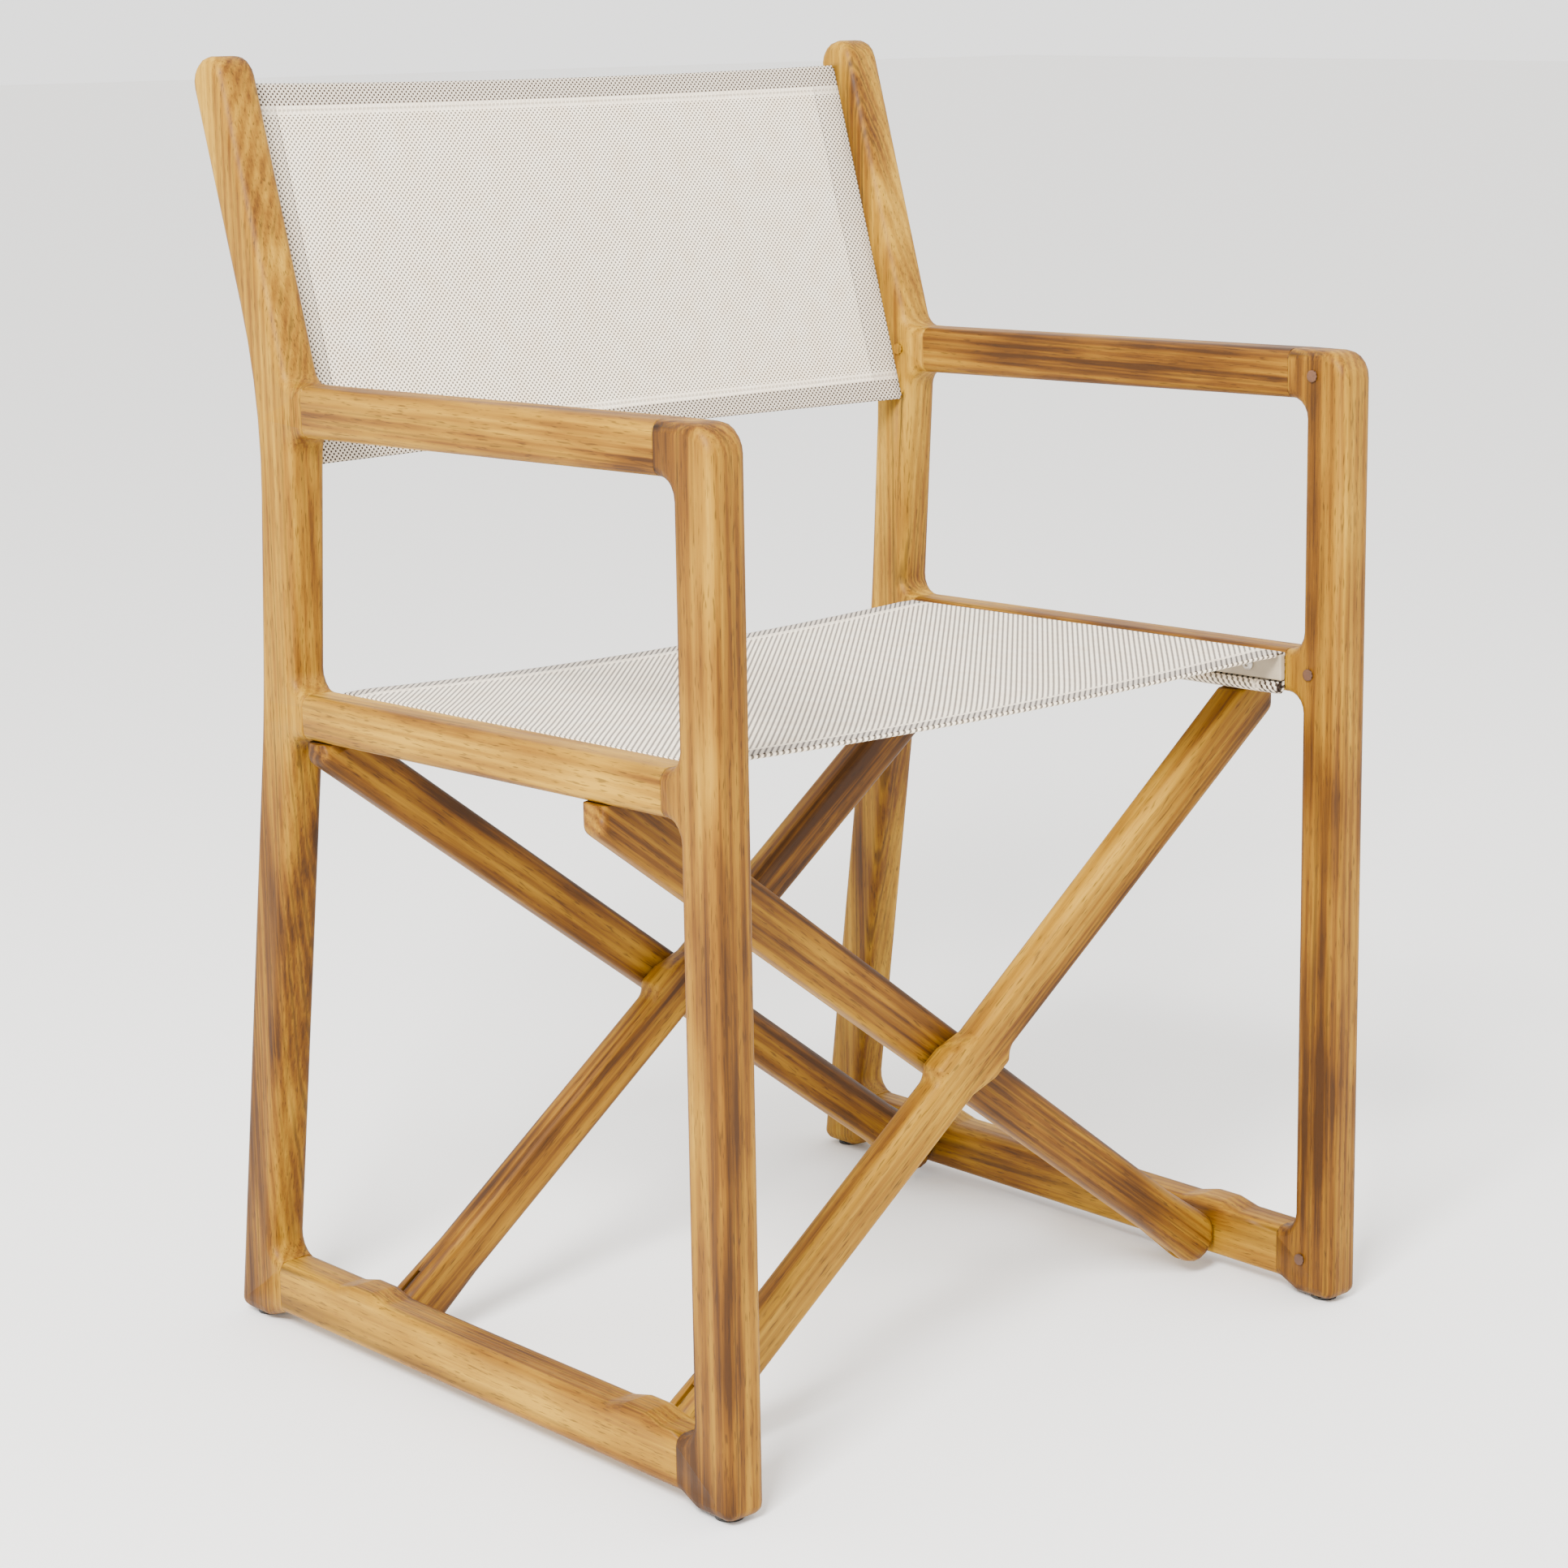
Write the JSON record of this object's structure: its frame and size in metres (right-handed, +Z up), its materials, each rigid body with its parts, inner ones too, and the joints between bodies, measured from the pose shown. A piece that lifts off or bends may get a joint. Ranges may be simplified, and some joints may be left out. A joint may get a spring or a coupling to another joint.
{
  "type": "folding_chair",
  "caption": "Folding director chair with teak side frames, crossed teak bars under the seat, and an off-white woven fabric seat and back",
  "frame": {"origin": "on the floor under the middle of the chair's box", "axes": "+Z up, the front of the chair faces -Y, +X is the right of the chair as the picture's viewer has it"},
  "size_m": [0.578, 0.5294, 0.8634],
  "materials": {
    "teak": "oiled teak, golden brown with darker streaks along the grain",
    "sling_fabric": "coarse off-white weave with fine taupe dots",
    "coated_metal": "warm grey powder coat, satin",
    "steel": "plain steel pins and eyes",
    "hem_rod": "dark brown rod in the hem",
    "dark_plug": "dark brown round plugs over the joints",
    "glide_plastic": "small dark foot glides"
  },
  "bodies": {
    "left_frame": {"armrest_left": "teak", "back_post_left": "teak", "back_rod_left": "steel", "back_sling": "sling_fabric", "foot_eye_b_front": "steel", "foot_eye_b_rear": "steel", "foot_rail_left": "teak", "front_leg_left": "teak", "glide_front_left": "glide_plastic", "glide_rear_left": "glide_plastic", "leg_plug_arm_left": "dark_plug", "leg_plug_foot_left": "dark_plug", "leg_plug_seat_left": "dark_plug", "post_plug_left": "teak"},
    "scissor_b": {"bar_b_front": "teak", "bar_b_rear": "teak", "clamp_screw_right_1": "coated_metal", "clamp_screw_right_2": "coated_metal", "clamp_screw_right_3": "coated_metal", "cross_pin_front": "steel", "cross_pin_rear": "steel", "foot_pin_b_front": "steel", "foot_pin_b_rear": "steel", "seat_clamp_right": "coated_metal", "seat_rail_right": "teak", "seat_rod_right": "hem_rod"},
    "scissor_a": {"bar_a_front": "teak", "bar_a_rear": "teak", "clamp_screw_left_1": "coated_metal", "clamp_screw_left_2": "coated_metal", "clamp_screw_left_3": "coated_metal", "foot_pin_a_front": "steel", "foot_pin_a_rear": "steel", "seat_clamp_left": "coated_metal", "seat_rail_left": "teak", "seat_rod_left": "hem_rod", "seat_sling": "sling_fabric"},
    "right_frame": {"armrest_right": "teak", "back_post_right": "teak", "back_rod_right": "steel", "foot_eye_a_front": "steel", "foot_eye_a_rear": "steel", "foot_rail_right": "teak", "front_leg_right": "teak", "glide_front_right": "glide_plastic", "glide_rear_right": "glide_plastic", "leg_plug_arm_right": "dark_plug", "leg_plug_foot_right": "dark_plug", "leg_plug_seat_right": "dark_plug", "post_plug_right": "teak"}
  },
  "joints": [
    {"name": "left_foot_pivot", "type": "hinge", "parent": "left_frame", "child": "scissor_b", "pos_m": [-0.2403, 0, 0.029], "axis": [0, -1, 0], "range_deg": [0, 37], "deforming": ["back_sling"]},
    {"name": "scissor_pivot", "type": "hinge", "parent": "scissor_b", "child": "scissor_a", "pos_m": [0, 0, 0.212], "axis": [0, 1, 0], "range_deg": [0, 80.1], "deforming": ["seat_sling"]},
    {"name": "right_foot_pivot", "type": "hinge", "parent": "scissor_a", "child": "right_frame", "pos_m": [0.2403, 0, 0.029], "axis": [0, -1, 0], "range_deg": [0, 37]}
  ],
  "couplings": [
    {"joint": "scissor_pivot", "follows": "left_foot_pivot", "ratio": 2.1505},
    {"joint": "right_foot_pivot", "follows": "left_foot_pivot", "ratio": 1}
  ]
}
